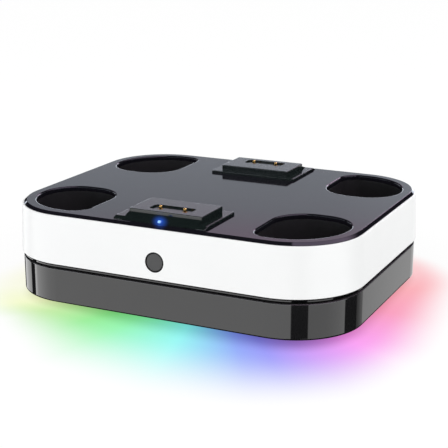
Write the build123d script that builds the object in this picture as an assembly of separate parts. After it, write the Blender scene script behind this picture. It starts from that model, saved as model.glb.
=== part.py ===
from build123d import *
import math
import os

# Charging dock for two game controllers: a low rounded-rectangular case with four deep wells
# for the controllers' handles, two raised contact blocks, a push button in front and a ring
# of coloured lights under its edge. Millimetres, +Z up, front towards -Y, floor at z = 0.

# Outline seen from above, at the foot of the white band
width = 181.0
depth = 146.2
corner_r = 35.1

# Stack of heights, from the floor up
foot_stand = 3.0
base_h = 17.1
groove_h = 1.0
lip_h = 0.7
seam_h = 0.7
band_h = 24.25
deck_land = 0.2
deck_rise = 1.25

# Walls of the case, and how far each stands in from the outline
band_wall = 2.4
band_draw = 0.95
rim_w = 0.85
rim_r = 0.6
base_wall = 2.4
base_inset = 0.7
lip_inset = 1.0
lip_lean = 0.075
seam_inset = 1.6
groove_inset = 2.4
deck_t = 2.4
bevel_w = 1.3
bevel_edge_r = 0.25
edge_r = 0.4

# Spigots that locate one shell inside the next
fit_gap = 0.1
spigot_t = 1.2
band_spigot_h = 2.0
base_spigot_h = 4.0
deck_spigot_h = 2.6

# Handle wells and the cups under them
well_margin = 8.0
well_width = 38.5
well_length = 44.5
well_end_r = 17.0
well_corner_r = 9.0
well_flat = 0.3
well_lip_r = 0.8
cup_depth = 37.2
cup_wall = 1.6
cup_draft = 3.0
cup_floor_r = 4.0
cup_flange_w = 1.2
cup_flange_t = 1.2
cup_gap = 0.15

# Charging blocks on the deck
apron_margin = 4.5
apron_len = 7.0
apron_toe = 0.3
apron_h = 2.5
tier_w = 48.5
tier_h = 1.2
tier_back = 3.0
tier_corner_r = 0.8
tier_edge_r = 0.25
pad_w = 38.7
pad_len = 22.0
pad_h = 1.6
pad_corner_r = 0.6
pad_edge_r = 0.3
recess_w = 22.0
recess_len = 8.0
recess_corner_r = 2.0
recess_depth = 0.8

# Spring contact pins in their barrels
pin_pitch = 13.0
pin_setback = 7.6
pin_proud = 1.0
pin_stem_r = 0.75
pin_shoulder_r = 0.95
pin_shoulder_h = 1.7
pin_dome_r = 0.5
slide_gap = 0.05
barrel_wall = 0.3
barrel_crimp_t = 0.7
barrel_floor_t = 0.6
barrel_sink = 0.1
barrel_gap = 0.1
tail_r = 0.5
tail_len = 2.1
spring_wire_r = 0.13
spring_side_gap = 0.15
spring_end_gap = 0.02
spring_turns = 5

# Contact boards and indicator lights under the deck
contact_board_w = 38.0
contact_board_t = 1.6
contact_board_reach = 19.6
contact_board_gap = 0.7
stub_h = 2.0
stub_r = 2.8
lens_setback = 2.0
lens_r = 1.2
lens_proud = 0.15
lens_flange_r = 1.6
lens_flange_t = 0.8
lens_dome_r = 0.6
led_chip_w = 1.6
led_chip_len = 0.8
led_chip_h = 0.8
block_screw_x = 15.5
block_screw_setback = 14.6
block_skin = 0.8

# Push button and the switch behind it
button_up = 8.5
button_r = 4.25
button_gap = 0.12
button_sink = 0.1
button_edge_r = 0.3
bezel_w = 0.45
button_pad_r = 6.1
button_pad_t = 0.2
button_flange_r = 5.8
button_flange_t = 1.0
button_play = 0.1
stem_r = 1.6
stem_len = 2.3
plunger_r = 1.75
plunger_out = 1.2
plunger_len = 2.2
plunger_room = 0.8
plunger_gap = 0.1
switch_size = 6.0
switch_d = 3.4
button_board_w = 26.0
button_board_h = 13.0
button_board_t = 1.6
button_boss_x = 9.5
button_boss_r = 2.5

# Light ring under the base, with its board and lamps
ring_t = 1.6
ring_w = 5.5
ring_riser_t = 1.0
ring_flange_w = 1.6
ring_flange_t = 1.0
led_count = 24
led_size = 2.8
led_h = 1.6
led_gap = 0.4
led_board_w = 4.0
led_board_t = 1.0
ledge_t = 1.2
clamp_lip_t = 1.4
clamp_lip_gap = 0.2
ledge_margin = 0.6

# Bottom plate, its posts and the feet
plate_t = 2.0
post_h = 6.0
post_r = 4.2
post_web = 4.0
foot_r = 7.0
foot_recess = 0.6
foot_edge_r = 0.6
foot_in_x = 28.5
foot_in_y = 27.1
rest_pad_r = 6.0

# Screw bosses of the deck
boss_r = 3.5
boss_gap = 3.5
side_boss_in = 20.5
end_boss_in = 18.1

# Fasteners
case_shank_r = 1.45
case_shank_len = 16.0
case_head_r = 2.8
case_head_h = 2.0
small_shank_r = 1.0
small_head_r = 2.0
small_head_h = 1.2
small_bite = 4.0
pilot_gap = 0.05
screw_gap = 0.2
head_gap = 0.3
tip_gap = 0.4
drive_w = 0.6
drive_depth = 0.7
drive_margin = 0.7

# Main board and what stands on it
board_t = 1.6
board_stand = 5.0
board_side_gap = 2.6
board_end_gap = 0.4
board_edge = 1.5
board_hole_in = 3.5
board_front_hole = 14.0
standoff_r = 2.6
standoff_gap = 2.0
chip_size = 7.0
chip_h = 1.0
chip_x = 10.0
chip_row = 22.0
coil_size = 8.0
coil_h = 4.0
coil_row = 36.0
can_r = 3.0
can_h = 7.0
can_x = 8.0

# Charging inlet in the rear wall
inlet_w = 8.94
inlet_h = 3.2
inlet_r = 1.4
inlet_t = 0.3
inlet_len = 7.4
inlet_setback = 0.8
inlet_gap = 0.3
relief_w = 13.0
relief_h = 7.0
relief_r = 3.0
relief_depth = 0.8
tongue_w = 6.7
tongue_t = 0.7
tongue_back = 0.8
tongue_short = 1.0

# Leads inside the case and their connectors
conn_w = 5.0
conn_len = 3.4
conn_h = 4.5
contact_conn_x = 10.0
contact_conn_in = 4.0
rear_conn_run = 14.0
led_lead_gap = 2.0
led_bend = 3.0
wire_r = 0.55
wire_pitch = 1.3
wire_bend = 5.0
wire_count = 3
wire_drop = 12.0
wire_slot = 0.6

# Levels worked out from the stack
z_base = foot_stand
z_groove = z_base + base_h
z_lip = z_groove + groove_h
z_seam = z_lip + lip_h
z_band = z_seam + seam_h
z_flange = z_band + band_h
z_deck = z_flange + deck_land + deck_rise
z_under = z_deck - deck_t
z_tier = z_deck + tier_h
z_apron = z_deck + apron_h
z_pad = z_apron + pad_h
z_plate = z_base + plate_t
z_ring_flange = z_plate + ring_flange_t
z_led = z_base + ring_t + led_gap
z_led_board = z_led + led_h
z_ledge = z_led_board + led_board_t
z_cup_floor = z_deck - cup_depth
z_cup_bottom = z_cup_floor - cup_wall
z_boss = z_plate + post_h
z_seat = z_boss - post_web
z_case_tip = z_seat + case_shank_len
z_board = z_plate + board_stand
z_board_top = z_board + board_t
z_conn_top = z_board_top + conn_h
z_inlet = z_board_top + inlet_h / 2
z_button = z_band + button_up

# Insets worked out from the walls
base_in = base_inset + base_wall
base_fit = base_in + fit_gap
deck_in = band_draw + rim_w
deck_fit = band_draw + band_wall + fit_gap
ring_in = base_fit + ring_w
led_line = base_fit + (ring_w - ring_riser_t) / 2
clamp_lip_out = ring_in + clamp_lip_gap
clamp_lip_in = clamp_lip_out + clamp_lip_t
ledge_in = clamp_lip_in + ledge_margin

# Places in the plan
front_y = -depth / 2
rear_y = depth / 2
well_x_out = width / 2 - well_margin
well_x = well_x_out - well_width / 2
well_y = rear_y - well_margin - well_length / 2
cup_foot = cup_gap + cup_wall + cup_flange_w
boss_x = well_x_out - well_width - cup_foot - boss_gap - boss_r
boss_places = [(sx * boss_x, sy * (rear_y - end_boss_in)) for sx in (-1, 1) for sy in (-1, 1)]
boss_places += [(sx * (width / 2 - side_boss_in), 0.0) for sx in (-1, 1)]
foot_x = width / 2 - foot_in_x
foot_y = rear_y - foot_in_y
led_x = width / 2 - led_line

# Plan of the front charging block, from its toe backwards
apron_y = front_y + apron_margin
pad_front = apron_y + apron_len
pad_y = pad_front + pad_len / 2
tier_end = pad_front + pad_len + tier_back
apron_slope = (apron_h - apron_toe) / apron_len
pin_y = pad_front + pin_setback
lens_y = apron_y + lens_setback
block_screw_y = pad_front + block_screw_setback
contact_board_front = front_y + deck_fit + spigot_t + contact_board_gap
contact_board_back = pad_front + contact_board_reach
contact_conn_y = contact_board_back - contact_conn_in

# Contact pins, from the pad down to the board
z_stub = z_under - stub_h
z_contact_board = z_stub - contact_board_t
z_barrel_top = z_pad - recess_depth - barrel_sink
z_crimp = z_barrel_top - barrel_crimp_t
z_shoulder_top = z_crimp - slide_gap
z_shoulder = z_shoulder_top - pin_shoulder_h
z_barrel_floor = z_stub + barrel_floor_t
barrel_bore_r = pin_shoulder_r + slide_gap
barrel_r = barrel_bore_r + barrel_wall

# Button and switch, from the band inwards
band_slope = band_draw / band_h
y_wall = front_y + band_wall + button_up * band_slope
y_pad = y_wall + button_pad_r * band_slope + button_pad_t
y_flange = y_pad + button_play
bezel_bore_r = button_r + button_gap
bezel_r = bezel_bore_r + bezel_w
y_stem = y_flange + button_flange_t
y_plunger = y_stem + stem_len
y_switch = y_plunger + plunger_out
y_button_board = y_switch + switch_d
y_button_back = y_button_board + button_board_t

# Plan of the main board, between the rear bosses and behind the side posts
lead_row = post_r + led_lead_gap + conn_w / 2
board_w = 2 * (boss_x - boss_r - board_side_gap)
board_y0 = lead_row - conn_w / 2 - board_edge
board_y1 = rear_y - base_in - board_end_gap
board_hole_x = board_w / 2 - board_hole_in
board_hole_ys = (board_y0 + board_front_hole, rear_y - ledge_in - standoff_r - standoff_gap)
board_holes = [(sx * board_hole_x, y) for sx in (-1, 1) for y in board_hole_ys]
rear_conn_y = rear_conn_run - contact_conn_y
led_conn_x = board_w / 2 - conn_len / 2

edge_tolerance = 0.01


def outline(inset):
    return RectangleRounded(width - 2 * inset, depth - 2 * inset, corner_r - inset)


def slab(sketch, z0, z1):
    return extrude(Pos(0, 0, z0) * sketch, z1 - z0)


def ring(outer_inset, inner_inset, z0, z1):
    return slab(outline(outer_inset) - outline(inner_inset), z0, z1)


def drafted(inset):
    # Body of the band's height and outline, moved in by inset, that draws in towards the top
    foot = Pos(0, 0, z_band) * outline(inset)
    return loft([foot, Pos(0, 0, z_flange) * outline(inset + band_draw)], ruled=True)


def rod(r, x, y, z0, z1):
    return Pos(x, y, (z0 + z1) / 2) * Cylinder(r, z1 - z0)


def rod_y(r, x, z, y0, y1):
    return Pos(x, (y0 + y1) / 2, z) * Rot(90, 0, 0) * Cylinder(r, y1 - y0)


def slab_y(sketch, z, y0, y1):
    face = Plane(origin=(0, y0, z), x_dir=(1, 0, 0), z_dir=(0, 1, 0)) * sketch
    return extrude(face, y1 - y0)


def brick(x, y, size_x, size_y, z0, z1):
    return Pos(x, y, (z0 + z1) / 2) * Box(size_x, size_y, z1 - z0)


def edges_at(shape, z):
    return shape.edges().filter_by_position(Axis.Z, z - edge_tolerance, z + edge_tolerance)


def mirrored(x, y):
    return [(sx * x, sy * y) for sx in (-1, 1) for sy in (-1, 1)]


def well_outline(grow):
    # Plan of the well in the +X +Y quarter, with every side moved out by grow. The corner by
    # the case's own corner keeps an even rim, as far as the well's two sides leave room for
    # it and for a short straight run.
    size_x = well_width + 2 * grow
    size_y = well_length + 2 * grow
    room = min(well_length - well_end_r, well_width - well_corner_r) - well_flat
    outer_r = min(corner_r - well_margin, room)
    radii = {(1, 1): outer_r, (-1, 1): well_corner_r, (1, -1): well_end_r, (-1, -1): well_end_r}
    plan = Pos(well_x, well_y) * Rectangle(size_x, size_y)
    for (sx, sy), radius in radii.items():
        corner = (well_x + sx * size_x / 2, well_y + sy * size_y / 2, 0)
        plan = fillet(plan.vertices().sort_by_distance(corner)[0], radius + grow)
    return plan


def quarter_images(shape):
    # A shape of the +X +Y quarter in all four quarters, by the quarter's name
    front = mirror(shape, about=Plane.XZ)
    return {
        "rear_right": shape,
        "front_right": front,
        "rear_left": mirror(shape, about=Plane.YZ),
        "front_left": mirror(front, about=Plane.YZ),
    }


def base_shell():
    # Black lower wall, with a ledge that carries the lamp board and a lip that clamps the ring
    shell = slab(outline(base_inset), z_base, z_groove)
    shell = fillet(edges_at(shell, z_base) + edges_at(shell, z_groove), edge_r)
    shell -= slab(outline(base_in), z_base, z_groove)
    shell += ring(base_inset + base_wall / 2, ledge_in, z_ledge, z_ledge + ledge_t)
    shell += ring(clamp_lip_out, clamp_lip_in, z_ring_flange, z_ledge + ledge_t)
    hole = RectangleRounded(inlet_w + 2 * inlet_gap, inlet_h + 2 * inlet_gap, inlet_r + inlet_gap)
    shell -= slab_y(hole, z_inlet, rear_y - base_in, rear_y)
    relief = RectangleRounded(relief_w, relief_h, relief_r)
    shell -= slab_y(relief, z_inlet, rear_y - base_inset - relief_depth, rear_y)
    slot_x = 2 * (wire_r + wire_slot)
    slot_y = (wire_count - 1) * wire_pitch + slot_x
    shell -= brick(led_x, lead_row, slot_x, slot_y, z_ledge, z_ledge + ledge_t)
    return shell


def spacer_ring():
    # Black ring between base and band: a deep groove, a thin leaning lip, a seam above it and
    # a spigot each way
    spacer_in = base_fit + spigot_t
    spacer = ring(groove_inset, spacer_in, z_groove, z_lip)
    lip_foot = Pos(0, 0, z_lip) * outline(lip_inset + lip_lean)
    lip = loft([lip_foot, Pos(0, 0, z_seam) * outline(lip_inset)], ruled=True)
    spacer += lip - slab(outline(spacer_in), z_lip, z_seam)
    spacer += ring(seam_inset, spacer_in, z_seam, z_band)
    spacer += ring(base_fit, spacer_in, z_groove - base_spigot_h, z_band)
    band_fit = band_wall + band_spigot_h * band_slope + fit_gap
    spacer += ring(band_fit, band_fit + spigot_t, z_lip, z_band + band_spigot_h)
    return spacer


def white_band():
    # White upper wall with a rounded rim. Inside, a flat pad round the button's hole and two
    # bosses for the button's board
    band = drafted(0)
    band = fillet(edges_at(band, z_band), edge_r)
    band = fillet(edges_at(band, z_flange), rim_r)
    band -= drafted(band_wall)
    band += rod_y(button_pad_r, 0, z_button, y_wall - band_wall / 2, y_pad)
    for sx in (-1, 1):
        x = sx * button_boss_x
        band += rod_y(button_boss_r, x, z_button, y_wall - band_wall / 2, y_button_board)
        pilot_end = y_button_board - small_bite - tip_gap
        band -= rod_y(small_shank_r + pilot_gap, x, z_button, pilot_end, y_button_board)
    return band - rod_y(bezel_r + slide_gap, 0, z_button, front_y, y_pad)


def top_deck():
    # Black top: a bevelled flange inside the band's rim, four well openings, the holes for the
    # blocks and, underneath, the spigot, the screw bosses and the stubs for the contact boards
    deck = slab(outline(deck_in), z_flange, z_deck)
    top = deck.faces().sort_by(Axis.Z)[-1]
    deck = chamfer(top.edges(), bevel_w, deck_rise, reference=top)
    deck = fillet(edges_at(deck, z_deck), bevel_edge_r)
    deck += slab(outline(deck_fit), z_under, z_deck - deck_rise)
    for well in quarter_images(slab(well_outline(0), z_under, z_deck)).values():
        deck -= well
    lips = deck.faces().sort_by(Axis.Z)[-1].inner_wires()
    deck = fillet([edge for lip in lips for edge in lip.edges()], well_lip_r)
    deck += ring(deck_fit, deck_fit + spigot_t, z_under - deck_spigot_h, z_flange)
    for x, y in boss_places:
        deck += rod(boss_r, x, y, z_boss, z_flange)
        deck -= rod(case_shank_r + pilot_gap, x, y, z_boss, z_case_tip + tip_gap)
    for x, y in mirrored(block_screw_x, block_screw_y):
        deck += rod(stub_r, x, y, z_stub, z_flange)
        deck -= rod(small_shank_r + screw_gap, x, y, z_stub, z_deck)
    for x, y in mirrored(pin_pitch / 2, pin_y):
        deck -= rod(barrel_r + barrel_gap, x, y, z_under, z_deck)
    for sy in (-1, 1):
        deck -= rod(lens_r + fit_gap, 0, sy * lens_y, z_under, z_deck)
    return deck


def handle_cup():
    # Moulded cup under the +X +Y well, drafted, with a flange that seats under the deck
    slope = math.tan(math.radians(cup_draft))

    def tapered(grow, z_low):
        low = well_outline(grow - (z_under - z_low) * slope)
        return loft([Pos(0, 0, z_low) * low, Pos(0, 0, z_under) * well_outline(grow)], ruled=True)

    outside = tapered(cup_gap + cup_wall, z_cup_bottom)
    outside = fillet(edges_at(outside, z_cup_bottom), cup_floor_r + cup_wall)
    outside += slab(well_outline(cup_foot), z_under - cup_flange_t, z_under)
    inside = tapered(cup_gap, z_cup_floor)
    inside = fillet(edges_at(inside, z_cup_floor), cup_floor_r)
    return outside - inside


def ramp(size_x, y_end, z_top):
    # Slab on the deck from the apron's toe to y_end, whose front follows the apron's slope
    slope_end = apron_y + (z_top - z_deck - apron_toe) / apron_slope
    side = Polyline(
        (apron_y, z_deck),
        (apron_y, z_deck + apron_toe),
        (slope_end, z_top),
        (y_end, z_top),
        (y_end, z_deck),
        close=True,
    )
    return extrude(Plane.YZ * make_face(side), size_x / 2, both=True)


def charging_block():
    # Front block: a wide low tier, a sloped apron as wide as the pad, and the raised pad with
    # the contacts in a recess
    plan = Pos(0, (apron_y + tier_end) / 2) * RectangleRounded(tier_w, tier_end - apron_y, tier_corner_r)
    block = ramp(tier_w, tier_end, z_tier) & slab(plan, z_deck, z_tier)
    rims = [edge for edge in block.edges() if edge.bounding_box().min.Z > z_deck + apron_toe / 2]
    block = fillet(rims, tier_edge_r)
    block += ramp(pad_w, pad_y, z_apron)
    pad = slab(Pos(0, pad_y) * RectangleRounded(pad_w, pad_len, pad_corner_r), z_deck, z_pad)
    block += fillet(edges_at(pad, z_pad), pad_edge_r)
    recess = Pos(0, pin_y) * RectangleRounded(recess_w, recess_len, recess_corner_r)
    block -= slab(recess, z_pad - recess_depth, z_pad)
    for sx in (-1, 1):
        block -= rod(barrel_r + barrel_gap, sx * pin_pitch / 2, pin_y, z_deck, z_pad)
        pilot_r = small_shank_r + pilot_gap
        block -= rod(pilot_r, sx * block_screw_x, block_screw_y, z_deck, z_pad - block_skin)
    block -= rod(lens_r + fit_gap, 0, lens_y, z_deck, z_apron)
    return block


def indicator_lens():
    # Light pipe with a domed end, seated by its flange under the deck
    z_top = z_deck + apron_toe + (lens_setback + lens_r) * apron_slope + lens_proud
    pipe = rod(lens_r, 0, lens_y, z_under - lens_flange_t, z_top)
    pipe = fillet(edges_at(pipe, z_top), lens_dome_r)
    return pipe + rod(lens_flange_r, 0, lens_y, z_under - lens_flange_t, z_under)


def contact_board():
    middle = (contact_board_front + contact_board_back) / 2
    length = contact_board_back - contact_board_front
    board = brick(0, middle, contact_board_w, length, z_contact_board, z_stub)
    for sx in (-1, 1):
        hole_r = small_shank_r + screw_gap
        board -= rod(hole_r, sx * block_screw_x, block_screw_y, z_contact_board, z_stub)
        board -= rod(tail_r + slide_gap, sx * pin_pitch / 2, pin_y, z_contact_board, z_stub)
    return board


def contact_pin(x):
    # Plunger with a domed tip and a shoulder that the barrel's crimp keeps in
    z_tip = z_pad + pin_proud
    stem = rod(pin_stem_r, x, pin_y, z_shoulder, z_tip)
    stem = fillet(edges_at(stem, z_tip), pin_dome_r)
    return stem + rod(pin_shoulder_r, x, pin_y, z_shoulder, z_shoulder_top)


def pin_barrel(x):
    barrel = rod(barrel_r, x, pin_y, z_stub, z_barrel_top)
    barrel -= rod(barrel_bore_r, x, pin_y, z_barrel_floor, z_crimp)
    barrel -= rod(pin_stem_r + slide_gap, x, pin_y, z_crimp, z_barrel_top)
    return barrel + rod(tail_r, x, pin_y, z_stub - tail_len, z_stub)


def pin_spring(x):
    low = z_barrel_floor + spring_wire_r + spring_end_gap
    height = z_shoulder - spring_wire_r - spring_end_gap - low
    coil_r = barrel_bore_r - spring_side_gap - spring_wire_r
    coil = Helix(height / spring_turns, height, coil_r, center=(x, pin_y, low))
    wire = Plane(origin=coil @ 0, z_dir=coil % 0) * Circle(spring_wire_r)
    return sweep(wire, path=coil, is_frenet=True)


def mode_button():
    # Disc with its face along the band's wall, a flange behind the pad and a stem to the switch
    cap = rod_y(button_r, 0, z_button, front_y, y_stem) & drafted(button_sink)
    cap = fillet(cap.edges().sort_by(Axis.Y)[0], button_edge_r)
    cap += rod_y(button_flange_r, 0, z_button, y_flange, y_stem)
    return cap + rod_y(stem_r, 0, z_button, y_flange, y_plunger)


def button_bezel():
    # Thin ring round the button, flush with the band's wall
    bezel = rod_y(bezel_r, 0, z_button, front_y, y_pad) & drafted(0)
    return bezel - rod_y(bezel_bore_r, 0, z_button, front_y, y_pad)


def switch_plunger():
    return rod_y(plunger_r, 0, z_button, y_plunger, y_plunger + plunger_len)


def tact_switch():
    body = slab_y(Rectangle(switch_size, switch_size), z_button, y_switch, y_button_board)
    well_end = y_plunger + plunger_len + plunger_room
    return body - rod_y(plunger_r + plunger_gap, 0, z_button, y_switch, well_end)


def button_board():
    board = slab_y(Rectangle(button_board_w, button_board_h), z_button, y_button_board, y_button_back)
    for sx in (-1, 1):
        hole_r = small_shank_r + screw_gap
        board -= rod_y(hole_r, sx * button_boss_x, z_button, y_button_board, y_button_back)
    return board


def light_ring():
    # Translucent ring: a flat window facing the floor, a riser and a flange on the bottom plate
    riser_out = ring_in - ring_riser_t
    lamp = ring(base_fit, ring_in, z_base, z_base + ring_t)
    lamp += ring(riser_out, ring_in, z_base, z_ring_flange)
    lamp += ring(riser_out, ring_in + ring_flange_w, z_plate, z_ring_flange)
    return lamp


def led_ring_board():
    return ring(led_line - led_board_w / 2, led_line + led_board_w / 2, z_led_board, z_ledge)


def rgb_leds():
    loop = outline(led_line).wire()
    lamps = []
    for i in range(led_count):
        t = (i + 0.5) / led_count
        place = loop @ t
        heading = loop % t
        turn = math.degrees(math.atan2(heading.Y, heading.X))
        lamp = Rot(0, 0, turn) * brick(0, 0, led_size, led_size, z_led, z_led_board)
        lamps.append(Pos(place.X, place.Y, 0) * lamp)
    return Compound(lamps)


def bottom_plate():
    # Plate with counterbored posts under the deck's bosses, pads under the cups, standoffs
    # for the main board and shallow seats for the feet
    plate = slab(outline(ring_in + fit_gap), z_base, z_plate)
    for x, y in boss_places:
        plate += rod(post_r, x, y, z_base, z_boss)
        plate -= rod(case_head_r + head_gap, x, y, z_base, z_seat)
        plate -= rod(case_shank_r + screw_gap, x, y, z_seat, z_boss)
    for x, y in mirrored(well_x, well_y):
        plate += rod(rest_pad_r, x, y, z_plate, z_cup_bottom)
    for x, y in board_holes:
        plate += rod(standoff_r, x, y, z_base, z_board)
        plate -= rod(small_shank_r + pilot_gap, x, y, z_board - small_bite - tip_gap, z_board)
    for x, y in mirrored(foot_x, foot_y):
        plate -= rod(foot_r + fit_gap, x, y, z_base, z_base + foot_recess)
    return plate


def rubber_foot():
    foot = rod(foot_r, foot_x, foot_y, 0, z_base + foot_recess)
    return fillet(edges_at(foot, 0), foot_edge_r)


def main_board():
    length = board_y1 - board_y0
    board = brick(0, (board_y0 + board_y1) / 2, board_w, length, z_board, z_board_top)
    for x, y in board_holes:
        board -= rod(small_shank_r + screw_gap, x, y, z_board, z_board_top)
    return board


def board_chips():
    parts = []
    for sx in (-1, 1):
        y = board_y0 + chip_row
        parts.append(brick(sx * chip_x, y, chip_size, chip_size, z_board_top, z_board_top + chip_h))
        parts.append(rod(can_r, sx * can_x, board_y0 + coil_row, z_board_top, z_board_top + can_h))
    coil_y = board_y0 + coil_row
    parts.append(brick(0, coil_y, coil_size, coil_size, z_board_top, z_board_top + coil_h))
    return Compound(parts)


def wire_connectors():
    # Sockets that the leads plug into, on the main board, the contact boards and the button board
    parts = []
    for x, y in ((0, lead_row), (contact_conn_x, lead_row), (-contact_conn_x, rear_conn_y)):
        parts.append(brick(x, y, conn_w, conn_len, z_board_top, z_conn_top))
    parts.append(brick(led_conn_x, lead_row, conn_len, conn_w, z_board_top, z_conn_top))
    for turn in (1, -1):
        x = turn * contact_conn_x
        y = turn * contact_conn_y
        parts.append(brick(x, y, conn_w, conn_len, z_contact_board - conn_h, z_contact_board))
    face = Rectangle(conn_w, conn_len)
    parts.append(slab_y(face, z_button, y_button_back, y_button_back + conn_h))
    return Compound(parts)


def lead(points, spread, bend):
    # Round wires side by side along spread, each on straight runs joined by tangent arcs
    wires = []
    for i in range(wire_count):
        shift = Vector(*spread) * ((i - (wire_count - 1) / 2) * wire_pitch)
        path = FilletPolyline(*[Vector(*point) + shift for point in points], radius=bend)
        section = Plane(origin=path @ 0, z_dir=path % 0) * Circle(wire_r)
        wires.append(sweep(section, path=path))
    return Compound(wires)


def contact_wires(x, y_top, y_board):
    z_top = z_contact_board - conn_h
    z_run = z_top - wire_drop
    route = [(x, y_top, z_top), (x, y_top, z_run), (x, y_board, z_run), (x, y_board, z_conn_top)]
    return lead(route, (1, 0, 0), wire_bend)


def button_wires():
    y_start = y_button_back + conn_h
    route = [(0, y_start, z_button), (0, lead_row, z_button), (0, lead_row, z_conn_top)]
    return lead(route, (1, 0, 0), wire_bend)


def led_wires():
    z_run = z_board_top + conn_h / 2
    x_end = led_conn_x + conn_len / 2
    route = [(led_x, lead_row, z_ledge), (led_x, lead_row, z_run), (x_end, lead_row, z_run)]
    return lead(route, (0, 1, 0), led_bend)


def usb_shell():
    y1 = rear_y - base_inset - inlet_setback
    y0 = y1 - inlet_len
    shell = slab_y(RectangleRounded(inlet_w, inlet_h, inlet_r), z_inlet, y0, y1)
    inner = RectangleRounded(inlet_w - 2 * inlet_t, inlet_h - 2 * inlet_t, inlet_r - inlet_t)
    return shell - slab_y(inner, z_inlet, y0, y1)


def usb_tongue():
    y1 = rear_y - base_inset - inlet_setback
    y0 = y1 - inlet_len
    trim = 2 * (inlet_t + slide_gap)
    back = RectangleRounded(inlet_w - trim, inlet_h - trim, inlet_r - inlet_t - slide_gap)
    tongue = slab_y(back, z_inlet, y0, y0 + tongue_back)
    return tongue + slab_y(Rectangle(tongue_w, tongue_t), z_inlet, y0, y1 - tongue_short)


def screw(shank_r, length, head_r, head_h):
    # Screw standing on its head's seat at z = 0, shank upwards, with a cross recess below
    body = rod(shank_r, 0, 0, 0, length) + rod(head_r, 0, 0, -head_h, 0)
    arm = 2 * (head_r - drive_margin)
    body -= brick(0, 0, arm, drive_w, -head_h, drive_depth - head_h)
    return body - brick(0, 0, drive_w, arm, -head_h, drive_depth - head_h)


def case_screws():
    one = screw(case_shank_r, case_shank_len, case_head_r, case_head_h)
    return Compound([Pos(x, y, z_seat) * one for x, y in boss_places])


def block_screws():
    length = z_pad - block_skin - tip_gap - z_contact_board
    one = screw(small_shank_r, length, small_head_r, small_head_h)
    places = mirrored(block_screw_x, block_screw_y)
    return Compound([Pos(x, y, z_contact_board) * one for x, y in places])


def board_screws():
    one = Rot(180, 0, 0) * screw(small_shank_r, board_t + small_bite, small_head_r, small_head_h)
    return Compound([Pos(x, y, z_board_top) * one for x, y in board_holes])


def button_board_screws():
    length = button_board_t + small_bite
    one = Rot(90, 0, 0) * screw(small_shank_r, length, small_head_r, small_head_h)
    return Compound([Pos(sx * button_boss_x, y_button_back, z_button) * one for sx in (-1, 1)])


nodes = {
    "base_shell": base_shell(),
    "spacer_ring": spacer_ring(),
    "white_band": white_band(),
    "top_deck": top_deck(),
    "mode_button": mode_button(),
    "button_bezel": button_bezel(),
    "switch_plunger": switch_plunger(),
    "tact_switch": tact_switch(),
    "button_board": button_board(),
    "light_ring": light_ring(),
    "led_ring_board": led_ring_board(),
    "rgb_leds": rgb_leds(),
    "bottom_plate": bottom_plate(),
    "main_board": main_board(),
    "board_chips": board_chips(),
    "wire_connectors": wire_connectors(),
    "usb_shell": usb_shell(),
    "usb_tongue": usb_tongue(),
    "contact_wires_front": contact_wires(contact_conn_x, contact_conn_y, lead_row),
    "contact_wires_rear": contact_wires(-contact_conn_x, -contact_conn_y, rear_conn_y),
    "button_wires": button_wires(),
    "led_wires": led_wires(),
    "case_screws": case_screws(),
    "block_screws": block_screws(),
    "board_screws": board_screws(),
    "button_board_screws": button_board_screws(),
}

for quarter, cup in quarter_images(handle_cup()).items():
    nodes["handle_cup_" + quarter] = cup
for quarter, foot in quarter_images(rubber_foot()).items():
    nodes["rubber_foot_" + quarter] = foot

# The rear block and its contacts are the front ones turned half a turn
led_chip = brick(0, lens_y, led_chip_w, led_chip_len, z_stub, z_stub + led_chip_h)
for end, turn in (("front", 0), ("rear", 180)):
    place = Rot(0, 0, turn)
    nodes["charging_block_" + end] = place * charging_block()
    nodes["indicator_lens_" + end] = place * indicator_lens()
    nodes["indicator_led_" + end] = place * led_chip
    nodes["contact_board_" + end] = place * contact_board()
    for sx in (-1, 1):
        side = "right" if (sx > 0) == (turn == 0) else "left"
        x = sx * pin_pitch / 2
        nodes[f"contact_pin_{end}_{side}"] = place * contact_pin(x)
        nodes[f"pin_barrel_{end}_{side}"] = place * pin_barrel(x)
        nodes[f"pin_spring_{end}_{side}"] = place * pin_spring(x)

os.makedirs("parts", exist_ok=True)
for name, shape in nodes.items():
    export_step(shape, os.path.join("parts", name + ".step"))
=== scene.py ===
import math

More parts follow.
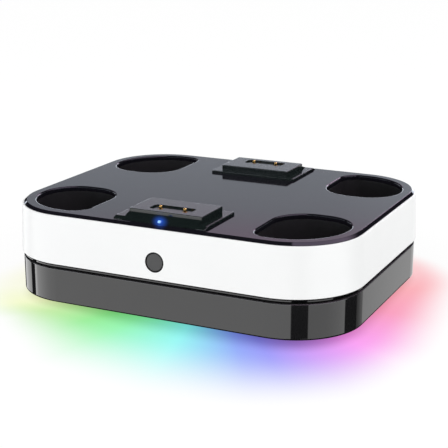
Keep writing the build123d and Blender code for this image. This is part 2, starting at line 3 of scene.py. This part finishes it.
import bpy
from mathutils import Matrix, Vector


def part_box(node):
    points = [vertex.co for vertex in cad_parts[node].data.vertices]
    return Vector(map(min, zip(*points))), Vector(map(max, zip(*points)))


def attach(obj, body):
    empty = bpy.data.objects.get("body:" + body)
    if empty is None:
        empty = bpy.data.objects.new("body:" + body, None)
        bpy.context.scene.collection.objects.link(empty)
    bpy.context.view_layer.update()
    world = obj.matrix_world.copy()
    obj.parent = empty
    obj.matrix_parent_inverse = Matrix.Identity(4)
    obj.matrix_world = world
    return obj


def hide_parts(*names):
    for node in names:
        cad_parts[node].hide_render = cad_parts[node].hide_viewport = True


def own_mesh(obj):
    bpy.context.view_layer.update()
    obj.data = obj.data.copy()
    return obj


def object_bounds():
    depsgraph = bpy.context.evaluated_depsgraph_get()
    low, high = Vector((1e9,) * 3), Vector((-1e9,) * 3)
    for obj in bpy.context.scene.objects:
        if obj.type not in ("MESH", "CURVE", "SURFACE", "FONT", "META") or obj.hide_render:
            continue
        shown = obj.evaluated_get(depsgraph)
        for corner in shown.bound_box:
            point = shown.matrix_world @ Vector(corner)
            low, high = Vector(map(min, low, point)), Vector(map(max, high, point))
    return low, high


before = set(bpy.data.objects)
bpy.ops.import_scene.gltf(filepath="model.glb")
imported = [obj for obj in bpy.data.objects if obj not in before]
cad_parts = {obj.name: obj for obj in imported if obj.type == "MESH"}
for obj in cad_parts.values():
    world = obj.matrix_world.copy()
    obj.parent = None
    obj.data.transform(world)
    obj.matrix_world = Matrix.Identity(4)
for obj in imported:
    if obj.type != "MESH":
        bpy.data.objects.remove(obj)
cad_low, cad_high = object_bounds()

# Feet: four soft rubber discs that carry the dock on the table. They are moulded with fine
# grip rings and glued into round seats in the bottom plate.
mm = 0.001
quarters = ("front_left", "front_right", "rear_left", "rear_right")


class Field:
    """A socket of a node tree. Arithmetic on it adds Math nodes; node() adds any other kind."""

    def __init__(self, tree, socket=None):
        self.tree = tree
        self.socket = socket

    def node(self, kind, settings, sockets, output=0):
        made = self.tree.nodes.new("ShaderNode" + kind)
        for name, value in settings.items():
            if name != "stops":
                setattr(made, name, value)
                continue
            first, *middle, last = value
            made.color_ramp.elements[0].position = first[0]
            made.color_ramp.elements[0].color = first[1]
            made.color_ramp.elements[1].position = last[0]
            made.color_ramp.elements[1].color = last[1]
            for position, colour in middle:
                made.color_ramp.elements.new(position).color = colour
        for name, value in sockets.items():
            if isinstance(value, Field):
                self.tree.links.new(value.socket, made.inputs[name])
            else:
                made.inputs[name].default_value = value
        return Field(self.tree, made.outputs[output])

    def math(self, operation, *terms):
        return self.node("Math", {"operation": operation}, dict(enumerate(terms)))

    def __add__(self, other):
        return self.math("ADD", self, other)

    def __radd__(self, other):
        return self.math("ADD", other, self)

    def __sub__(self, other):
        return self.math("SUBTRACT", self, other)

    def __rsub__(self, other):
        return self.math("SUBTRACT", other, self)

    def __mul__(self, other):
        return self.math("MULTIPLY", self, other)

    def __rmul__(self, other):
        return self.math("MULTIPLY", other, self)

    def __truediv__(self, other):
        return self.math("DIVIDE", self, other)

    def __rtruediv__(self, other):
        return self.math("DIVIDE", other, self)

    def __gt__(self, other):
        return self.math("GREATER_THAN", self, other)

    def __lt__(self, other):
        return self.math("LESS_THAN", self, other)

    def __abs__(self):
        return self.math("ABSOLUTE", self)


def tone(red, green, blue):
    """A colour by its screen values from 0 to 255, as linear light."""
    shares = [value / 255 for value in (red, green, blue)]
    linear = [s / 12.92 if s <= 0.04045 else ((s + 0.055) / 1.055) ** 2.4 for s in shares]
    return (*linear, 1.0)


def start_finish(name, even):
    """A material's shader with its even values set, and the place on the object in metres."""
    material = bpy.data.materials.new(name)
    material.use_nodes = True
    shader = material.node_tree.nodes["Principled BSDF"]
    for socket, value in even.items():
        shader.inputs[socket].default_value = value
    place = Field(material.node_tree).node("TexCoord", {}, {}, "Object")
    return material, shader, place


def feed(shader, varied):
    for socket, field in varied.items():
        field.tree.links.new(field.socket, shader.inputs[socket])


def paint(material, *names):
    for name in names:
        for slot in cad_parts[name].material_slots:
            slot.material = material


def axes(place, names):
    return [place.node("SeparateXYZ", {}, {"Vector": place}, name) for name in names]


def grain(place, size, detail=2.0):
    return place.node("TexNoise", {}, {"Vector": place, "Scale": 1 / size, "Detail": detail})


def mix(share, low, high, way="MIX"):
    settings = {"data_type": "RGBA", "blend_type": way, "clamp_factor": True}
    return share.node("Mix", settings, {0: share, 6: low, 7: high}, 2)


def ease(value, start, end):
    """A smooth rise from 0 at the start to 1 at the end."""
    limits = {"Value": value, "From Min": start, "From Max": end}
    return value.node("MapRange", {"interpolation_type": "SMOOTHSTEP"}, limits)


def relief(height, depth):
    return height.node("Bump", {}, {"Height": height, "Distance": depth}, "Normal")


def span(x, y):
    return x.math("SQRT", x * x + y * y)


def ripple(distance, pitch):
    return distance.math("SINE", distance * (math.tau / pitch))


foot_names = ["rubber_foot_" + quarter for quarter in quarters]
foot_low, foot_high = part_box("rubber_foot_rear_right")
foot_x = (foot_low.x + foot_high.x) / 2
foot_y = (foot_low.y + foot_high.y) / 2
grip_pitch = 1.1 * mm
dust_size = 0.9 * mm
speck_size = 0.12 * mm
foot_rubber, shader, place = start_finish("foot_rubber", {"IOR": 1.45})
x, y = axes(place, "XY")
grip = ripple(span(abs(x) - foot_x, abs(y) - foot_y), grip_pitch)
dust = ease(grain(place, dust_size, 6.0), 0.55, 0.8)
speck = grain(place, speck_size)
feed(shader, {
    "Base Color": mix(dust * 0.5, tone(33, 33, 35), tone(62, 61, 60)),
    "Roughness": 0.72 + 0.2 * speck,
    "Normal": relief(grip * 0.6 + speck * 0.4, 0.06 * mm),
})
paint(foot_rubber, *foot_names)

# Bottom plate: one black injection moulding with a fine spark-eroded grain. Its posts take the
# long case screws, and it carries the main board, the feet and the cups.
spark_pitch = 0.45 * mm
plate_flow = 28 * mm


def pebbles(place, pitch):
    """Rounded cells, as an eroded or etched mould leaves them."""
    placed = {"Vector": place, "Scale": 1 / pitch}
    return place.node("TexVoronoi", {"feature": "SMOOTH_F1"}, placed)


plate_black, shader, place = start_finish("plate_black", {"IOR": 1.46})
spark = pebbles(place, spark_pitch)
flow = grain(place, plate_flow, 3.0)
feed(shader, {
    "Base Color": mix(flow, tone(24, 24, 26), tone(34, 34, 37)),
    "Roughness": 0.46 + 0.14 * spark + 0.08 * flow,
    "Normal": relief(spark + 0.5 * grain(place, 0.2 * mm), 0.035 * mm),
})
paint(plate_black, "bottom_plate")

# Light ring: a milky moulding round the plate that spreads the lamps' colours evenly. It is
# clipped between the bottom plate and the base, and shines down through its flat window.

# Each stop of the glow: its direction from the front towards the right in degrees, its colour,
# which the light ring shines and which is painted on the table, how many millimetres the painted
# glow reaches over the table, and how deep the painted shade by the base is.
glow_stops = (
    (-180, tone(255, 243, 230), 20, 0.34),
    (-60, tone(253, 254, 235), 30, 0.34),
    (-46, tone(248, 254, 210), 32, 0.34),
    (-36, tone(202, 240, 173), 28, 0.34),
    (-22, tone(158, 241, 158), 46, 0.36),
    (-10, tone(156, 249, 182), 66, 0.34),
    (12, tone(156, 251, 247), 74, 0.34),
    (30, tone(152, 174, 252), 68, 0.42),
    (37, tone(162, 160, 252), 64, 0.52),
    (46, tone(206, 162, 250), 59, 0.56),
    (60, tone(253, 166, 246), 42, 0.46),
    (85, tone(254, 166, 197), 36, 0.34),
    (108, tone(255, 182, 190), 28, 0.34),
    (124, tone(255, 208, 212), 24, 0.34),
    (180, tone(255, 243, 230), 20, 0.34),
)


def turn_of(x, y):
    """The direction from the front towards the right, from 0 to 1 over the whole turn."""
    return x.math("ARCTAN2", x, -1 * y) / math.tau + 0.5


def turn_at(angle):
    """The same measure for an angle in degrees."""
    return (angle + 180) / 360


def round_dock(turn, stops):
    """A colour that follows the direction, from stops of an angle in degrees and a colour."""
    shares = [(turn_at(angle), colour) for angle, colour in stops]
    return turn.node("ValToRGB", {"stops": shares}, {"Fac": turn})


def glow_colour(turn):
    return round_dock(turn, [(angle, colour) for angle, colour, reach, shade in glow_stops])


diffuser_white, shader, place = start_finish(
    "diffuser_white", {"IOR": 1.49, "Emission Strength": 1.1})
x, y = axes(place, "XY")
hue = glow_colour(turn_of(x, y))
cloud = grain(place, 6 * mm, 4.0)
deepened = mix(cloud * 0.3 + 0.7, hue, hue, "MULTIPLY")
feed(shader, {
    "Base Color": mix(cloud, tone(226, 230, 233), tone(240, 243, 245)),
    "Emission Color": deepened,
    "Roughness": 0.24 + 0.16 * cloud,
    "Normal": relief(grain(place, 0.5 * mm), 0.01 * mm),
})
paint(diffuser_white, "light_ring")

# Lamp board and lamps: a narrow ring of white-masked board with square colour lamps soldered
# under it. It needs no screws: the base's ledge holds it down on the light ring.
weave_pitch = 1.2 * mm
board_white, shader, place = start_finish("board_white", {"IOR": 1.5})
weave = place.node("TexBrick", {"offset": 0.0}, {
    "Vector": place, "Color1": tone(232, 232, 226), "Color2": tone(224, 224, 218),
    "Mortar": tone(205, 204, 196), "Scale": 1 / weave_pitch, "Mortar Size": 0.04,
    "Brick Width": 1.0, "Row Height": 1.0})
feed(shader, {
    "Base Color": weave,
    "Roughness": 0.38 + 0.2 * grain(place, 0.8 * mm),
    "Normal": relief(grain(place, 0.3 * mm, 3.0), 0.008 * mm),
})
paint(board_white, "led_ring_board")

lamp_white, shader, place = start_finish("lamp_white", {"IOR": 1.5, "Emission Strength": 0.4})
x, y = axes(place, "XY")
clear = grain(place, 0.7 * mm, 3.0)
feed(shader, {
    "Base Color": mix(clear, tone(236, 234, 224), tone(246, 245, 238)),
    "Emission Color": glow_colour(turn_of(x, y)),
    "Roughness": 0.2 + 0.2 * clear,
    "Normal": relief(clear, 0.01 * mm),
})
paint(lamp_white, "rgb_leds")

# Base shell: the gloss black lower wall, moulded and polished like a piano finish, with a rolled
# foot edge; its upper ledge is left matt, and painted near black as painted shade in the groove.
# It drops over the plate and the light ring, and the case screws pull it down with the rest.
base_foot_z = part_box("base_shell")[0].z
roll_h = 0.8 * mm
roll_depth = 0.5 * mm
ledge_start, ledge_end = 19.9 * mm, 20.0 * mm
base_black, shader, place = start_finish("base_black", {"IOR": 1.86})
[z] = axes(place, "Z")
smear = grain(place, 14 * mm, 5.0)
peel = grain(place, 5 * mm, 1.0)
roll = ease(z, base_foot_z, base_foot_z + roll_h)
# The ledge is matt, and its near-black colour is painted shade in the groove above it.
ledge = ease(z, ledge_start, ledge_end)
feed(shader, {
    "Base Color": mix(ledge, mix(smear, tone(22, 22, 23), tone(28, 28, 29)), tone(6, 6, 6)),
    "Roughness": 0.02 + 0.03 * smear + 0.85 * ledge,
    "Normal": relief(roll + 0.008 * peel, roll_depth),
})
paint(base_black, "base_shell")

# Circuit boards: glass-fibre board under green solder mask, with copper tracks below it. The
# main board stands on the plate; small ones hang under the deck and behind the button. Chips,
# switch and moulded sockets are soldered on.
ends = ("front", "rear")
track_pitch = 3.2 * mm
track_line, track_half, track_edge = 0.32, 0.02, 0.05
board_green, shader, place = start_finish("board_green", {"IOR": 1.5})
square_cells = {"distance": "CHEBYCHEV", "feature": "F1"}
cells = place.node("TexVoronoi", square_cells, {"Vector": place, "Scale": 1 / track_pitch})
track = ease(abs(cells - track_line), track_half, track_edge)
fibre = grain(place, 0.25 * mm, 3.0)
feed(shader, {
    "Base Color": mix(track, tone(58, 128, 74), mix(fibre, tone(24, 88, 50), tone(30, 98, 56))),
    "Roughness": 0.3 + 0.15 * fibre + 0.1 * track,
    "Normal": relief(1 - track, 0.03 * mm),
})
paint(board_green, "main_board", "button_board", *["contact_board_" + end for end in ends])

chip_black, shader, place = start_finish("chip_black", {"IOR": 1.52})
sand = grain(place, 0.15 * mm, 3.0)
feed(shader, {
    "Base Color": mix(sand, tone(24, 24, 25), tone(36, 36, 37)),
    "Roughness": 0.5 + 0.2 * sand,
    "Normal": relief(sand, 0.012 * mm),
})
paint(chip_black, "board_chips", "tact_switch", "switch_plunger")

connector_white, shader, place = start_finish("connector_white", {"IOR": 1.53})
resin = grain(place, 1.6 * mm, 4.0)
feed(shader, {
    "Base Color": mix(resin, tone(226, 220, 204), tone(236, 231, 218)),
    "Roughness": 0.36 + 0.16 * resin,
    "Normal": relief(grain(place, 0.2 * mm), 0.008 * mm),
})
paint(connector_white, "wire_connectors")

# Charging inlet: a drawn and nickel-plated steel shell round a black tongue with gold contact
# strips. It is soldered to the main board and looks out through the rear wall.
drawn_scale = (9000, 300, 9000)


def streaks(place, scale, detail, turn=0.0):
    """Noise drawn out into lines, by how often it repeats in a metre along each axis."""
    placed = {"Vector": place, "Rotation": (0, 0, turn), "Scale": scale}
    drawn = place.node("Mapping", {}, placed)
    return drawn.node("TexNoise", {}, {"Vector": drawn, "Scale": 1.0, "Detail": detail})


inlet_steel, shader, place = start_finish("inlet_steel", {"Metallic": 1.0})
drawn = streaks(place, drawn_scale, 3.0)
feed(shader, {
    "Base Color": mix(drawn, tone(176, 175, 172), tone(200, 199, 196)),
    "Roughness": 0.2 + 0.18 * drawn,
    "Normal": relief(drawn, 0.006 * mm),
})
paint(inlet_steel, "usb_shell")

strip_pitch = 0.5 * mm
strip_edge = 0.27 * strip_pitch
strip_row_half = 2.9 * mm
strips_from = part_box("usb_tongue")[0].y + 2.4 * mm
tongue_black, shader, place = start_finish("tongue_black", {"IOR": 1.5})
x, y = axes(place, "XY")
strips = x.math("PINGPONG", x, strip_pitch / 2) > strip_edge
strips = strips * (y > strips_from) * (abs(x) < strip_row_half)
rub = grain(place, 0.3 * mm)
feed(shader, {
    "Base Color": mix(strips, mix(rub, tone(20, 20, 21), tone(29, 29, 30)), tone(222, 184, 108)),
    "Metallic": strips,
    "Roughness": 0.5 - 0.22 * strips + 0.1 * rub,
    "Normal": relief(strips + 0.2 * rub, 0.02 * mm),
})
paint(tongue_black, "usb_tongue")

# Leads: three soft-sleeved wires side by side from each small board to the main one, pushed
# into their sockets and held inside the case. The sleeves are red, black and white.
sleeve_half = 0.65 * mm


def wire_sleeves(lead, axis):
    """Sleeves of a lead whose wires lie side by side along the axis, 0 for X and 1 for Y."""
    low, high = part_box(lead)
    middle = (low[axis] + high[axis]) / 2
    material, shader, place = start_finish("sleeves_" + lead, {"IOR": 1.47})
    across = axes(place, "XY")[axis] - middle
    soft = grain(place, 0.4 * mm, 3.0)
    dark = mix(across > sleeve_half, tone(26, 26, 27), tone(214, 212, 206))
    feed(shader, {
        "Base Color": mix(across < -sleeve_half, dark, tone(168, 30, 28)),
        "Roughness": 0.42 + 0.2 * soft,
        "Normal": relief(soft, 0.01 * mm),
    })
    paint(material, lead)


for lead in ("contact_wires_front", "contact_wires_rear", "button_wires"):
    wire_sleeves(lead, 0)
wire_sleeves("led_wires", 1)

# Spacer ring: a thin black moulding between base and band. Its lip is polished, and the deep
# groove and the seam beside it are left matt; its spigots locate the two shells.
lip_low, lip_high = 21.05 * mm, 21.75 * mm
spacer_black, shader, place = start_finish(
    "spacer_black", {"IOR": 1.1, "Coat IOR": 1.88, "Coat Roughness": 0.04})
[z] = axes(place, "Z")
smear = grain(place, 9 * mm, 4.0)
feed(shader, {
    "Base Color": mix(smear, tone(8, 8, 9), tone(13, 13, 14)),
    "Coat Weight": (z > lip_low) * (z < lip_high),
    "Roughness": 0.5 + 0.2 * smear,
    "Normal": relief(grain(place, 4 * mm, 1.0), 0.003 * mm),
})
paint(spacer_black, "spacer_ring")

# White band: the upper wall, moulded in white with a smooth satin gloss. Its spigot seats on
# the spacer, and the button's board is screwed to two bosses inside it.
band_white, shader, place = start_finish("band_white", {"IOR": 1.46})
milk = grain(place, 22 * mm, 3.0)
peel = grain(place, 1.4 * mm)
feed(shader, {
    "Base Color": mix(milk, tone(243, 244, 244), tone(247, 248, 248)),
    "Roughness": 0.24 + 0.1 * milk + 0.05 * peel,
    "Normal": relief(peel, 0.004 * mm),
})
paint(band_white, "white_band")

# Light button: a dark grey disc with a satin face, flush in a thin black ring in the band. A
# flange keeps it from falling out and its stem works the switch on the small board behind.
button_low, button_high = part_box("mode_button")
button_x = (button_low.x + button_high.x) / 2
button_z = (button_low.z + button_high.z) / 2
turned_pitch = 0.16 * mm


def turned_rings(place):
    """Fine rings about the button's middle, as a lathe leaves them in the mould."""
    x, z = axes(place, "XZ")
    return ripple(span(x - button_x, z - button_z), turned_pitch)


button_grey, shader, place = start_finish("button_grey", {"IOR": 1.46})
turned = turned_rings(place)
satin = grain(place, 0.1 * mm)
feed(shader, {
    "Base Color": mix(satin, tone(60, 60, 60), tone(70, 70, 70)),
    "Roughness": 0.38 + 0.12 * satin,
    "Normal": relief(turned * 0.3 + satin, 0.006 * mm),
})
paint(button_grey, "mode_button")

bezel_black, shader, place = start_finish("bezel_black", {"IOR": 1.2})
turned = turned_rings(place)
feed(shader, {
    "Base Color": mix(grain(place, 0.3 * mm, 3.0), tone(14, 14, 15), tone(24, 24, 25)),
    "Roughness": 0.5 + 0.1 * turned,
    "Normal": relief(turned, 0.004 * mm),
})
paint(bezel_black, "button_bezel")

# Handle cups: four deep black mouldings under the wells, with a fine leather-like grain that
# keeps what stands in them from slipping. Their flanges are bonded under the deck.
hide_pitch = 0.7 * mm
cup_black, shader, place = start_finish("cup_black", {"IOR": 1.46})
hide = pebbles(place, hide_pitch)
flow = grain(place, 18 * mm, 3.0)
feed(shader, {
    "Base Color": mix(flow, tone(22, 22, 24), tone(31, 31, 33)),
    "Roughness": 0.5 + 0.18 * hide,
    "Normal": relief(hide + 0.4 * grain(place, 0.18 * mm), 0.05 * mm),
})
paint(cup_black, *["handle_cup_" + quarter for quarter in quarters])

# Top deck: one gloss black moulding with a bevelled rim and four well openings. Its long bosses
# take the case screws, which clamp the whole stack from below. Each indicator's blue light is
# painted on the rim in front of it, as emission in the deck's finish.
lens_low, lens_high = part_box("indicator_lens_front")
lens_y = abs(lens_low.y + lens_high.y) / 2
halo_start = 0.6 * mm
halo_reach = 6.0 * mm
halo_stretch = 0.89
halo_lean = 0.46
hairline_turn = 0.6
hairline_scale = (260, 6000, 260)


def painted_indicator_halo(place):
    """Painted blue light, as emission, on what lies round an indicator, drawn out and leaning
    along the slope.
    """
    x, y = axes(place, "XY")
    outward = abs(y) - lens_y
    near = 1 - ease(span(x - halo_lean * outward, halo_stretch * outward), halo_start, halo_reach)
    return mix(near * near, tone(0, 0, 0), tone(30, 76, 178))


deck_black, shader, place = start_finish(
    "deck_black",
    {"IOR": 1.45, "Specular Tint": (0.87, 0.93, 1.0, 1.0), "Emission Strength": 0.9})
smear = grain(place, 20 * mm, 5.0)
hairline = ease(streaks(place, hairline_scale, 4.0, hairline_turn), 0.62, 0.8)
feed(shader, {
    "Base Color": mix(smear, tone(17, 16, 22), tone(23, 22, 28)),
    # The indicator's light on the deck is painted here as emission.
    "Emission Color": painted_indicator_halo(place),
    "Roughness": 0.05 + 0.05 * smear + 0.06 * hairline,
    "Normal": relief(grain(place, 6 * mm, 1.0), 0.004 * mm),
})
paint(deck_black, "top_deck")

# Charging blocks: black satin mouldings with a sloped apron, a low tier and a raised pad round
# the contacts. Two screws from below hold each one, and the indicator's glow is painted on its
# apron as emission.
block_black, shader, place = start_finish("block_black", {"IOR": 1.8, "Emission Strength": 0.9})
satin = grain(place, 0.22 * mm, 3.0)
flow = grain(place, 12 * mm, 3.0)
feed(shader, {
    "Base Color": mix(flow, tone(18, 25, 25), tone(25, 33, 32)),
    # The indicator's light on the apron is painted here as emission.
    "Emission Color": painted_indicator_halo(place),
    "Roughness": 0.1 + 0.06 * satin,
    "Normal": relief(satin, 0.004 * mm),
})
paint(block_black, *["charging_block_" + end for end in ends])

# Indicators: a clear light pipe with a domed end in each apron, pushed in from below, with a
# blue lamp under it on the contact board.
lens_r = 1.2 * mm
core_r = 0.2 * lens_r
core_y = lens_y + 0.8 * mm
lens_blue, shader, place = start_finish("lens_blue", {"IOR": 1.49, "Emission Strength": 1.0})
x, y = axes(place, "XY")
core = 1 - ease(span(x, abs(y) - core_y), core_r, lens_r)
feed(shader, {
    "Base Color": mix(core, tone(10, 25, 70), tone(60, 100, 160)),
    "Emission Color": mix(core, tone(30, 76, 178), tone(160, 212, 255)),
    "Roughness": 0.1 + 0.1 * grain(place, 0.3 * mm),
    "Normal": relief(grain(place, 0.4 * mm), 0.004 * mm),
})
paint(lens_blue, *["indicator_lens_" + end for end in ends])

lamp_blue, shader, place = start_finish("lamp_blue", {"IOR": 1.5, "Emission Strength": 0.6})
clear = grain(place, 0.4 * mm)
feed(shader, {
    "Base Color": mix(clear, tone(230, 232, 226), tone(242, 243, 238)),
    "Emission Color": mix(clear, tone(40, 96, 240), tone(90, 150, 250)),
    "Roughness": 0.2 + 0.2 * clear,
    "Normal": relief(clear, 0.008 * mm),
})
paint(lamp_blue, *["indicator_led_" + end for end in ends])

# Contacts: turned brass plungers and barrels, gold plated, with a steel spring in each barrel.
# The barrels are pressed through block and deck and soldered into the contact boards. Each
# spring is its own copy of the part, carried with the dock.
tool_pitch = 0.09 * mm
contact_gold, shader, place = start_finish("contact_gold", {"Metallic": 1.0})
[z] = axes(place, "Z")
wear = grain(place, 0.5 * mm, 4.0)
feed(shader, {
    "Base Color": mix(wear, tone(226, 180, 96), tone(244, 206, 128)),
    "Roughness": 0.16 + 0.14 * wear,
    "Normal": relief(ripple(z, tool_pitch), 0.003 * mm),
})
for quarter in quarters:
    paint(contact_gold, "contact_pin_" + quarter, "pin_barrel_" + quarter)

spring_steel, shader, place = start_finish("spring_steel", {"Metallic": 1.0})
drawn = grain(place, 0.1 * mm, 3.0)
feed(shader, {
    "Base Color": mix(drawn, tone(150, 150, 148), tone(186, 186, 184)),
    "Roughness": 0.26 + 0.16 * drawn,
    "Normal": relief(drawn, 0.004 * mm),
})
for quarter in quarters:
    node = "pin_spring_" + quarter
    paint(spring_steel, node)
    spring = bpy.data.objects.new("coil_spring_" + quarter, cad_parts[node].data)
    bpy.context.scene.collection.objects.link(spring)
    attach(spring, "dock")
    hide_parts(node)
    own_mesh(spring)

# Screws: cold-headed steel with a cross recess, zinc plated and passivated. Six long ones clamp
# the case from below, and small ones hold the blocks and the boards.
screw_steel, shader, place = start_finish("screw_steel", {"Metallic": 1.0})
tint = grain(place, 1.2 * mm, 3.0)
scuff = grain(place, 0.12 * mm, 3.0)
feed(shader, {
    "Base Color": mix(tint, tone(132, 133, 138), tone(170, 168, 160)),
    "Roughness": 0.28 + 0.2 * scuff,
    "Normal": relief(scuff, 0.006 * mm),
})
paint(screw_steel, "case_screws", "block_screws", "board_screws", "button_board_screws")

# Floor: a plain white table top whose matte share takes the dock's shadow. The light ring's
# colours are painted on it round the base as a painted glow, deepest at the edge and fading
# outwards, with painted shade at the base's foot. Seen from below it is clear.
floor_half = 4.0
outline_half_x = (cad_high.x - cad_low.x) / 2
outline_half_y = (cad_high.y - cad_low.y) / 2
corner_r = 35.1 * mm
reach_unit = 100 * mm
own_light = 0.86
glow_start = 0.1
shade_share = 0.2
shade_start = -3 * mm
shade_end = -9 * mm
shade_tint = 0.3


def level(value):
    """A plain value as a colour of a ramp."""
    return (value, value, value, 1.0)


floor_mesh = bpy.data.meshes.new("floor")
corner_signs = ((-1, -1), (1, -1), (1, 1), (-1, 1))
floor_corners = [(sx * floor_half, sy * floor_half, 0) for sx, sy in corner_signs]
floor_mesh.from_pydata(floor_corners, [], [(0, 1, 2, 3)])
floor = bpy.data.objects.new("floor", floor_mesh)
bpy.context.scene.collection.objects.link(floor)
floor.visible_glossy = False

table_white = bpy.data.materials.new("table_white")
table_white.use_nodes = True
tree = table_white.node_tree
place = Field(tree).node("TexCoord", {}, {}, "Object")
x, y = axes(place, "XY")
past_x = x.math("MAXIMUM", abs(x) - (outline_half_x - corner_r), 0.0)
past_y = y.math("MAXIMUM", abs(y) - (outline_half_y - corner_r), 0.0)
from_edge = span(past_x, past_y) - corner_r
turn = turn_of(x, y)
reach_stops = [
    (angle, level(reach * mm / reach_unit)) for angle, colour, reach, shade in glow_stops]
shade_stops = [(angle, level(shade)) for angle, colour, reach, shade in glow_stops]
reach = round_dock(turn, reach_stops) * reach_unit
shade = round_dock(turn, shade_stops)
hue = glow_colour(turn)
# The glow and the shade at the base are painted into the table's colour, shown to camera rays
# only.
painted_glow = mix(ease(from_edge, glow_start * reach, reach), hue, tone(255, 255, 255))
painted_shade_mask = ease(from_edge, shade_share * reach + shade_start, shade_end)
painted_shaded_glow = mix(shade_tint * painted_shade_mask, painted_glow, hue, "MULTIPLY")
seen = mix(shade * painted_shade_mask, painted_shaded_glow, tone(0, 0, 0))
camera_ray = place.node("LightPath", {}, {}, "Is Camera Ray")
surface = mix(camera_ray, tone(245, 245, 245), seen)
lit = place.node("Emission", {}, {"Color": surface, "Strength": 1.0})
matte = place.node("BsdfDiffuse", {}, {"Color": surface, "Roughness": 0.5})
top = place.node("MixShader", {}, {0: own_light, 1: matte, 2: lit})
below = place.node("NewGeometry", {}, {}, "Backfacing")
clear = place.node("BsdfTransparent", {}, {})
both = place.node("MixShader", {}, {0: below, 1: top, 2: clear})
tree.links.new(both.socket, tree.nodes["Material Output"].inputs["Surface"])
floor_mesh.materials.append(table_white)

# Studio: white panels round the dock with dark gaps between them, which the gloss walls mirror
# as upright black stripes, a faintly tinted row behind, a narrow strip and a panel overhead that
# the deck and its bevel mirror, and large soft lamps that light the band evenly.

# Each stop of a row: its direction from the front towards the right in degrees, its brightness.
wall_panels = (
    (-180, 0.85), (-143, 0.85), (-142.5, 0), (-126, 0), (-125.5, 1.35), (-95.4, 1.35), (-95, 0),
    (-82.4, 0), (-82, 3.0), (-75, 1.67), (-50, 1.18), (-30, 1.0), (19.3, 0.98), (19.7, 0),
    (45.8, 0), (46.2, 0.78), (75, 0.8), (100, 0.93), (110, 1.0), (110.4, 0),
    (139.4, 0), (139.9, 0.13), (153, 0.3), (160, 0.46), (162, 0.73), (164.5, 0.88), (180, 0.88),
)
deck_panels = (
    (-180, 0), (-171, 0), (-169, 0.79), (-164, 0.76), (-160, 0.64), (-143, 0.6),
    (-142, 0), (180, 0),
)
# A ramp holds values up to 1, so the rows are kept as shares of this brightness.
brightest = 4.0

# Where each row, strip and panel starts and ends, in degrees above the horizon.
wall_low, rear_low, corner_low = -60, -24, -18.8
front_top, rear_top, deck_top = 10, 8, 22
glint_low, glint_top = 13, 24
overhead_low, overhead_full = 24, 46
edge_low = -8
violet_start, violet_end = 15.3, 16.4

corner_turn = turn_at(165)
glint_half = turn_at(171) - turn_at(0)
overhead_first, overhead_last = turn_at(15), turn_at(158)
edge_gain, edge_most = 3.0, 3.0
glint_light, overhead_light, ambient = 4.5, 2.4, 0.92
cool_white, violet_white = (0.85, 0.9, 1.0, 1.0), (1.0, 0.77, 1.0, 1.0)

studio = bpy.data.worlds.new("studio")
bpy.context.scene.world = studio
studio.use_nodes = True
tree = studio.node_tree
heading = Field(tree).node("TexCoord", {}, {}, "Generated")
x, y, z = axes(heading, "XYZ")
turn = turn_of(x, y)
rise = z.math("ARCSINE", z) * (180 / math.pi)
behind = y > 0


def brightness(panels):
    stops = [(angle, level(value / brightest)) for angle, value in panels]
    return round_dock(turn, stops) * brightest


at_corner = turn > corner_turn
low_end = wall_low + (rear_low - wall_low) * behind + (corner_low - rear_low) * at_corner
top_end = front_top + (rear_top - front_top) * behind
walls = brightness(wall_panels) * (rise > low_end) * (1 + (edge_gain - 1) * (rise > edge_low))
walls = walls.math("MINIMUM", walls, edge_most) * (rise < top_end)
deck = brightness(deck_panels) * (rise > 0) * (rise < deck_top)
at_back = abs(turn - turn_at(0)) > glint_half
glint = glint_light * at_back * (rise > glint_low) * (rise < glint_top)
at_right = (turn > overhead_first) * (turn < overhead_last)
overhead = overhead_light * at_right * ease(rise, overhead_low, overhead_full)
glossy_ray = heading.node("LightPath", {}, {}, "Is Glossy Ray")
diffuse_ray = heading.node("LightPath", {}, {}, "Is Diffuse Ray")
mirrored = walls + deck + glint + overhead
strength = 1 - glossy_ray * (1 - mirrored) - diffuse_ray * (1 - ambient)
panel_tint = mix(ease(rise, violet_start, violet_end), cool_white, violet_white)
tint = mix(glossy_ray * (rise > 0), tone(255, 255, 255), panel_tint)
shown = heading.node("Background", {}, {"Color": tint, "Strength": strength})
tree.links.new(shown.socket, tree.nodes["World Output"].inputs["Surface"])


def softbox(name, spot, size, watts):
    data = bpy.data.lights.new(name, "AREA")
    data.shape = "SQUARE"
    data.size = size
    data.energy = watts
    lamp = bpy.data.objects.new(name, data)
    lamp.location = spot
    lamp.rotation_euler = (-Vector(spot)).to_track_quat("-Z", "Y").to_euler()
    lamp.visible_glossy = False
    bpy.context.scene.collection.objects.link(lamp)


softbox("key_front", (-0.35, -1.3, 0.9), 0.9, 3.0)
softbox("fill_right", (1.3, 0.2, 0.7), 0.8, 3.2)

bpy.context.scene.view_settings.view_transform = "Standard"

# Camera: a long lens slightly above the deck, turned to the right of the front, with a small
# shift that frames the dock as the photograph does.
target = Vector((0, 0, 30 * mm))
camera_turn = math.radians(25.716)
camera_rise = math.radians(15.899)
camera_away = 593.04 * mm

back = Vector((
    math.sin(camera_turn) * math.cos(camera_rise),
    -math.cos(camera_turn) * math.cos(camera_rise),
    math.sin(camera_rise),
))
camera_data = bpy.data.cameras.new("camera")
camera_data.sensor_width = 36.0
camera_data.lens = 92.09
camera_data.shift_x = 0.0034
camera_data.shift_y = 0.0040
camera_data.clip_start = 0.01
camera = bpy.data.objects.new("camera", camera_data)
camera.location = target + camera_away * back
camera.rotation_euler = (-back).to_track_quat("-Z", "Y").to_euler()
bpy.context.scene.collection.objects.link(camera)
bpy.context.scene.camera = camera
